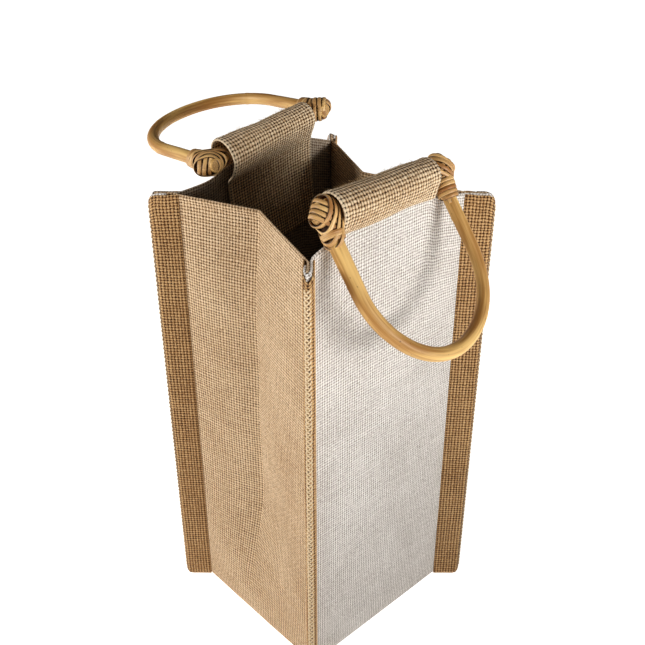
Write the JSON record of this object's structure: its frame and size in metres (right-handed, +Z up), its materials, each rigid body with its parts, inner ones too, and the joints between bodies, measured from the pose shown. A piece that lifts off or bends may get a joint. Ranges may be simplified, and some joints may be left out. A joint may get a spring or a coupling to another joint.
{
  "type": "wine gift bag",
  "caption": "Tall woven bag for a wine bottle, with folded jute sides, bound corner seams and hinged cane handles that turn in sewn sleeves.",
  "frame": {"origin": "middle of the base, on the surface the bag stands on", "axes": "+Z up, from the base to the mouth; -Y out of the front panel; +X towards the right as seen from the front"},
  "size_m": [0.1276, 0.2245, 0.2888],
  "materials": {
    "cotton_jute": "plain weave of off-white yarn, matt",
    "jute": "coarse natural jute, plain weave, matt",
    "jute_binding": "natural jute folded over the seams, matt",
    "jute_sleeve": "open natural jute with loose fibres, matt",
    "thread": "jute-coloured sewing thread",
    "cane": "honey-coloured cane, satin",
    "cane_strip": "split cane strip, satin, dark between its turns",
    "board": "plain grey-brown board"
  },
  "bodies": {
    "bag": {"front_panel": "cotton_jute", "back_panel": "cotton_jute", "left_gusset": "jute", "right_gusset": "jute", "base_panel": "jute", "base_board": "board", "front_left_binding": "jute_binding", "front_right_binding": "jute_binding", "back_left_binding": "jute_binding", "back_right_binding": "jute_binding", "edge_stitching": "thread", "front_sleeve": "jute_sleeve", "back_sleeve": "jute_sleeve", "sleeve_stitching": "thread"},
    "front_handle": {"front_hoop": "cane", "front_bar": "cane", "front_left_lashing": "cane_strip", "front_right_lashing": "cane_strip"},
    "back_handle": {"back_hoop": "cane", "back_bar": "cane", "back_left_lashing": "cane_strip", "back_right_lashing": "cane_strip"}
  },
  "joints": [
    {"name": "front_handle_hinge", "type": "hinge", "parent": "bag", "child": "front_handle", "pos_m": [-0.003, -0.0455, 0.2765], "axis": [-1, 0, 0], "range_deg": [0, 168]},
    {"name": "back_handle_hinge", "type": "hinge", "parent": "bag", "child": "back_handle", "pos_m": [0.003, 0.0455, 0.2765], "axis": [0.989, 0, 0.1478], "range_deg": [-30, 122]}
  ]
}
